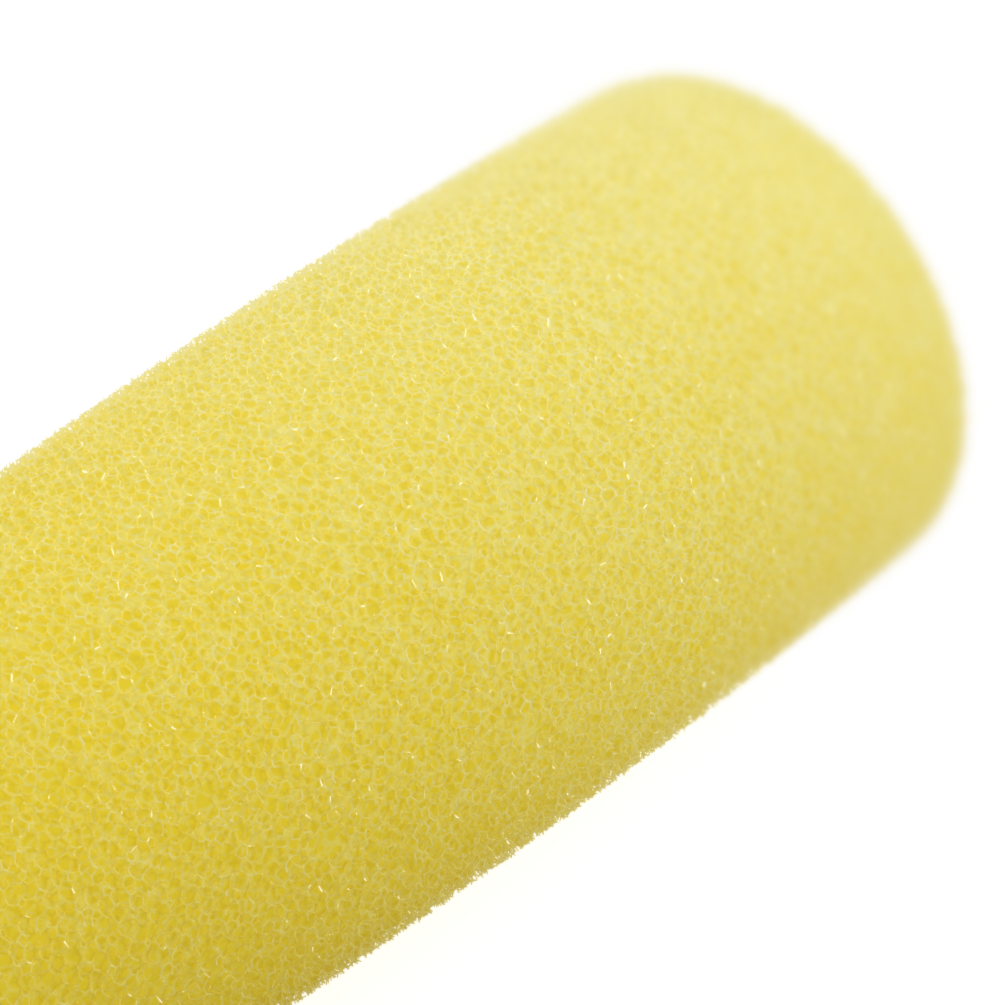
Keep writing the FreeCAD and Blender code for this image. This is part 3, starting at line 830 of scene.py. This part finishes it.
def dress_frame():
    """Give every CAD node that stays visible its material."""
    zinc = metal_material("zinc_steel", (0.62, 0.63, 0.64), 0.30, turned=False)
    finishes = {
        "handle": wood_material(),
        "ferrule": metal_material("ferrule_metal", (0.80, 0.80, 0.79), 0.26, turned=True),
        "threaded_insert": metal_material("brass", (0.80, 0.56, 0.24), 0.30, turned=True),
        "head_base": plastic_material(),
    }
    finishes["core_spindle"] = finishes["head_base"]
    for name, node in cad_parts.items():
        material = finishes.get(name, zinc)
        node.data.materials.clear()
        node.data.materials.append(material)


# ------------------------------------------------------------ studio

def make_floor():
    """Pale floor that touches the foam's belly and the handle's swell."""
    foam_low = lowest("foam_head")
    handle_low = lowest("handle")
    tilt = math.atan2(handle_low.z - foam_low.z, foam_low.x - handle_low.x)
    bpy.ops.mesh.primitive_plane_add(size=FLOOR_SIDE, location=foam_low)
    floor = bpy.context.object
    floor.name = "floor"
    floor.rotation_euler = (0, tilt, 0)
    material, nodes, links, shader = new_material("floor")
    place = object_coordinates(nodes)
    mottle = texture(nodes, links, "ShaderNodeTexNoise", place, Scale=30.0, Detail=2.0)
    tint = ramp(nodes, links, mottle.outputs["Fac"], [
        (0.3, (0.84, 0.84, 0.84, 1)), (0.7, (0.86, 0.86, 0.86, 1))])
    links.new(tint, shader.inputs["Base Color"])
    shader.inputs["Roughness"].default_value = 0.9
    shader.inputs["Specular IOR Level"].default_value = 0.1
    shader.inputs["Emission Color"].default_value = (1, 1, 1, 1)
    seen = nodes.new("ShaderNodeLightPath").outputs["Is Camera Ray"]
    links.new(maths(nodes, links, "MULTIPLY", seen, FLOOR_GLOW), shader.inputs["Emission Strength"])
    floor.data.materials.append(material)


def lowest(node):
    """The lowest vertex of a CAD node."""
    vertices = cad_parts[node].data.vertices
    return min((vertex.co for vertex in vertices), key=lambda co: co.z).copy()


def make_lights(target):
    """Soft light from all round, a broad lamp above and a small one beside the tip for glints."""
    world = bpy.data.worlds.new("studio")
    bpy.context.scene.world = world
    world.use_nodes = True
    background = world.node_tree.nodes["Background"]
    background.inputs["Color"].default_value = (1, 1, 1, 1)
    background.inputs["Strength"].default_value = ROOM_LIGHT
    add_area("key", target + KEY_PLACE, target, KEY_SIDE, KEY_POWER)
    add_area("glint", target + GLINT_PLACE, target, GLINT_SIDE, GLINT_POWER)


def add_area(name, place, target, size, power):
    light = bpy.data.lights.new(name, "AREA")
    light.size = size
    light.energy = power
    lamp = bpy.data.objects.new(name, light)
    lamp.location = place
    lamp.rotation_euler = (target - place).to_track_quat("-Z", "Y").to_euler()
    bpy.context.scene.collection.objects.link(lamp)


def make_camera(tip):
    forward = Vector((
        math.cos(CAMERA_RISE) * math.cos(CAMERA_TURN),
        math.cos(CAMERA_RISE) * math.sin(CAMERA_TURN),
        -math.sin(CAMERA_RISE)))
    right = Vector((math.sin(CAMERA_TURN), -math.cos(CAMERA_TURN), 0))
    up = right.cross(forward)
    data = bpy.data.cameras.new("camera")
    data.sensor_width = SENSOR
    data.lens = LENS
    data.clip_start = 0.01
    camera = bpy.data.objects.new("camera", data)
    turn = Matrix((right, up, -forward)).transposed().to_4x4()
    place = tip - forward * TIP_DISTANCE - right * TIP_RIGHT - up * TIP_UP
    camera.matrix_world = Matrix.Translation(place) @ turn
    bpy.context.scene.collection.objects.link(camera)
    bpy.context.scene.camera = camera


def clipped(tree, image):
    """The image with nothing brighter than white, so that a blurred edge fades evenly."""
    darker = tree.nodes.new("CompositorNodeMixRGB")
    darker.blend_type = "DARKEN"
    darker.inputs[2].default_value = (1, 1, 1, 1)
    tree.links.new(image, darker.inputs[1])
    return darker.outputs["Image"]


def blend_images(tree, mask, low, high, first, second):
    """The first image where the mask is at low, turning into the second where it is at high."""
    share = tree.nodes.new("CompositorNodeMapRange")
    share.use_clamp = True
    tree.links.new(mask, share.inputs["Value"])
    share.inputs["From Min"].default_value = low
    share.inputs["From Max"].default_value = high
    mix = tree.nodes.new("CompositorNodeMixRGB")
    tree.links.new(share.outputs["Value"], mix.inputs["Fac"])
    tree.links.new(first, mix.inputs[1])
    tree.links.new(second, mix.inputs[2])
    return mix.outputs["Image"]


def blurred(tree, image, size):
    node = tree.nodes.new("CompositorNodeBlur")
    node.filter_type = "GAUSS"
    node.size_x = size
    node.size_y = size
    tree.links.new(image, node.inputs["Image"])
    return node.outputs["Image"]


def make_lens_blur():
    """In a close-up, blur the picture where the foam's materials say it is out of focus."""
    scene = bpy.context.scene
    scene.view_layers[0].use_pass_combined = True
    layer = scene.view_layers[0].aovs.add()
    layer.name = "soft"
    layer.type = "VALUE"
    scene.use_nodes = True
    tree = scene.node_tree
    tree.nodes.clear()
    picture = tree.nodes.new("CompositorNodeRLayers")
    spread = tree.nodes.new("CompositorNodeDilateErode")
    spread.distance = EDGE_REACH
    tree.links.new(picture.outputs["soft"], spread.inputs["Mask"])
    mask = blurred(tree, spread.outputs["Mask"], EDGE_REACH)
    sharp = clipped(tree, picture.outputs["Image"])
    result = sharp
    low = 0.0
    for size in BLUR_LEVELS:
        high = size / BLUR_LEVELS[-1]
        result = blend_images(tree, mask, low, high, result, blurred(tree, sharp, size))
        low = high
    output = tree.nodes.new("CompositorNodeComposite")
    tree.links.new(result, output.inputs["Image"])


bpy.context.scene.view_settings.view_transform = "Standard"
foam_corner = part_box("foam_head")[1]
tip = Vector((foam_corner.x, 0, 0))
dress_frame()
foam = make_foam()
strut = foam_material("foam_strut", foam_corner, shade=0.91, wall_share=0.0, gloss=1.0,
                      roughness=0.2)
# The inner surface lies deepest, so its colour starts further into the painted shade.
inside = foam_material("foam_inside", foam_corner, shade=1.45, wall_share=0.40, gloss=0.1,
                       roughness=0.8)
for piece in foam:
    piece.data.materials.append(inside if piece.name == "foam_inside" else strut)
    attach(piece, "head")
    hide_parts("foam_head")
make_floor()
make_lights(tip)
make_camera(tip)
make_lens_blur()
